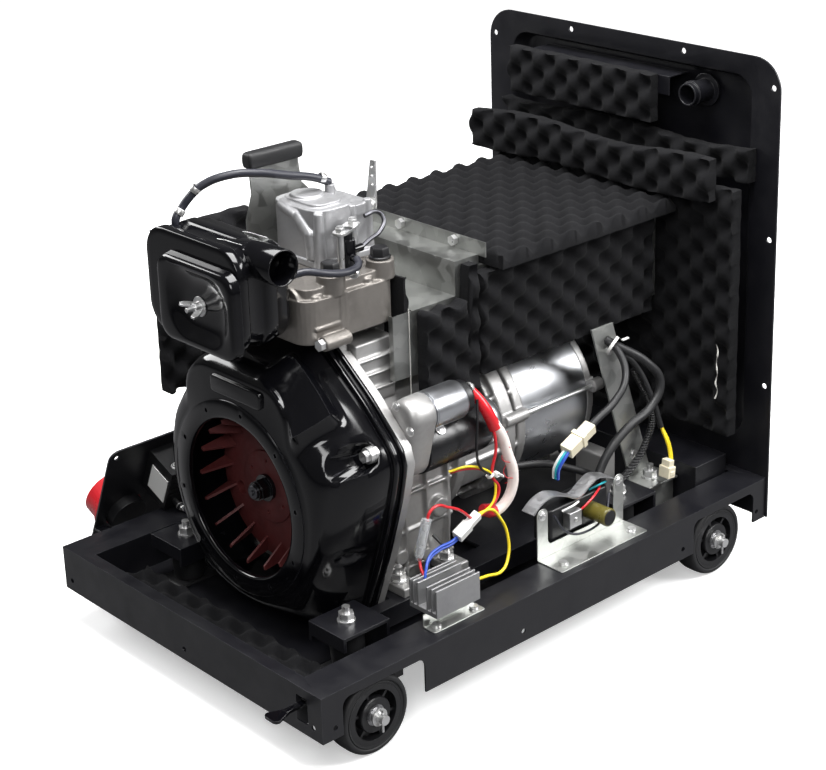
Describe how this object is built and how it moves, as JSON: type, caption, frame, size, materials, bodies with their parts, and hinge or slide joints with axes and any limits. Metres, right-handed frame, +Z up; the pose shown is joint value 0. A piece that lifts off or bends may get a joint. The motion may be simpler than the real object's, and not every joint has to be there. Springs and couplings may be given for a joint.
{
  "type": "engine driven welder",
  "caption": "Air-cooled diesel engine driving a welding alternator on a wheeled tray, with exhaust box, foam lining, end panel and control panel, canopy off.",
  "frame": {"origin": "middle of the footprint, on the floor under the tyres", "axes": "+X from the cooling-fan end to the end panel, +Y away from the service side, +Z up"},
  "size_m": [0.8536, 0.6334, 0.687],
  "materials": {
    "frame_paint": "satin black powder coat",
    "gloss_black": "gloss black enamel",
    "galvanised": "galvanised sheet with a faint spangle",
    "zinc": "bright zinc plate",
    "cast_alloy": "shot-blasted casting",
    "head_alloy": "warm grey casting",
    "barrel_alloy": "polished tube",
    "steel": "machined",
    "fan_red": "matte dark red paint",
    "foam": "open-cell acoustic foam",
    "rubber": "moulded black rubber",
    "tyre": "solid tyre",
    "black_plastic": "moulded black plastic",
    "red_plastic": "red moulding",
    "blue_plastic": "blue moulding",
    "cable": "cable sheath",
    "winding": "lacquered copper",
    "laminations": "stacked steel sheet",
    "heat_sink": "cast grey",
    "filter_paper": "pleated paper",
    "hot_steel": "heat-stained steel"
  },
  "bodies": {
    "root": {"base_frame": "frame_paint", "rear_box": "frame_paint", "end_panel": "frame_paint", "panel_fittings": "frame_paint", "axles": "zinc", "wheel_bearings": "steel", "engine_cradle": "frame_paint", "mount_rubbers": "rubber", "fasteners": "zinc", "crankcase": "cast_alloy", "back_plate": "cast_alloy", "cylinder_liner": "steel", "cylinder_head": "head_alloy", "head_plugs": "black_plastic", "rocker_cover": "cast_alloy", "injector": "gloss_black", "injector_clamp": "zinc", "pipes_and_hoses": "rubber", "air_cleaner_body": "gloss_black", "air_cleaner_cover": "gloss_black", "air_filter": "filter_paper", "fan_shroud": "gloss_black", "crank_bearings": "steel", "piston": "cast_alloy", "connecting_rod": "steel", "adaptor": "cast_alloy", "stator_barrel": "barrel_alloy", "stator_core": "laminations", "rear_bracket": "gloss_black", "tail_support": "galvanised", "starter_motor": "gloss_black", "starter_solenoid": "barrel_alloy", "regulator": "heat_sink", "rail_brackets": "galvanised", "avr_module": "black_plastic", "wiring": "cable", "exhaust_box": "galvanised", "muffler": "hot_steel", "foam_lining": "foam", "buffer_bracket": "galvanised", "buffer_block": "rubber", "control_panel": "frame_paint", "cee_socket": "red_plastic", "breaker": "black_plastic"},
    "wheel_front_near": {"tyre_front_near": "tyre", "hub_front_near": "black_plastic"},
    "wheel_front_far": {"tyre_front_far": "tyre", "hub_front_far": "black_plastic"},
    "wheel_rear_near": {"tyre_rear_near": "tyre", "hub_rear_near": "black_plastic"},
    "wheel_rear_far": {"tyre_rear_far": "tyre", "hub_rear_far": "black_plastic"},
    "crank_train": {"flywheel_fan": "fan_red", "flywheel_nut": "gloss_black", "crankshaft": "steel", "rotor": "winding"},
    "decompressor": {"decompression_lever": "zinc"},
    "lever": {"corner_lever": "gloss_black"},
    "cleaner_nut": {"wing_nut": "zinc"},
    "breaker_toggle": {"breaker_handle": "blue_plastic"}
  },
  "joints": [
    {"name": "front_near_spin", "type": "hinge", "parent": "root", "child": "wheel_front_near", "pos_m": [-0.2988, -0.28472, 0.05], "axis": [0, 1, 0], "continuous": true},
    {"name": "rear_near_spin", "type": "hinge", "parent": "root", "child": "wheel_rear_near", "pos_m": [0.3042, -0.28472, 0.05], "axis": [0, 1, 0], "continuous": true},
    {"name": "front_far_spin", "type": "hinge", "parent": "root", "child": "wheel_front_far", "pos_m": [-0.2988, 0.19528, 0.05], "axis": [0, 1, 0], "continuous": true},
    {"name": "rear_far_spin", "type": "hinge", "parent": "root", "child": "wheel_rear_far", "pos_m": [0.3042, 0.19528, 0.05], "axis": [0, 1, 0], "continuous": true},
    {"name": "crank_spin", "type": "hinge", "parent": "root", "child": "crank_train", "pos_m": [-0.2308, -0.04472, 0.232], "axis": [1, 0, 0], "continuous": true},
    {"name": "decompression_lift", "type": "hinge", "parent": "root", "child": "decompressor", "pos_m": [-0.0808, -0.05472, 0.554], "axis": [1, 0, 0], "range_deg": [-40, 0]},
    {"name": "corner_lever_tilt", "type": "hinge", "parent": "root", "child": "lever", "pos_m": [-0.3688, -0.26972, 0.088], "axis": [0, 1, 0], "range_deg": [-30, 4]},
    {"name": "wing_nut_turn", "type": "hinge", "parent": "root", "child": "cleaner_nut", "pos_m": [-0.3408, -0.05872, 0.494], "axis": [1, 0, 0], "continuous": true},
    {"name": "breaker_rock", "type": "hinge", "parent": "root", "child": "breaker_toggle", "pos_m": [-0.1898, 0.23184, 0.15418], "axis": [1, 0, 0], "range_deg": [-18, 18]}
  ]
}
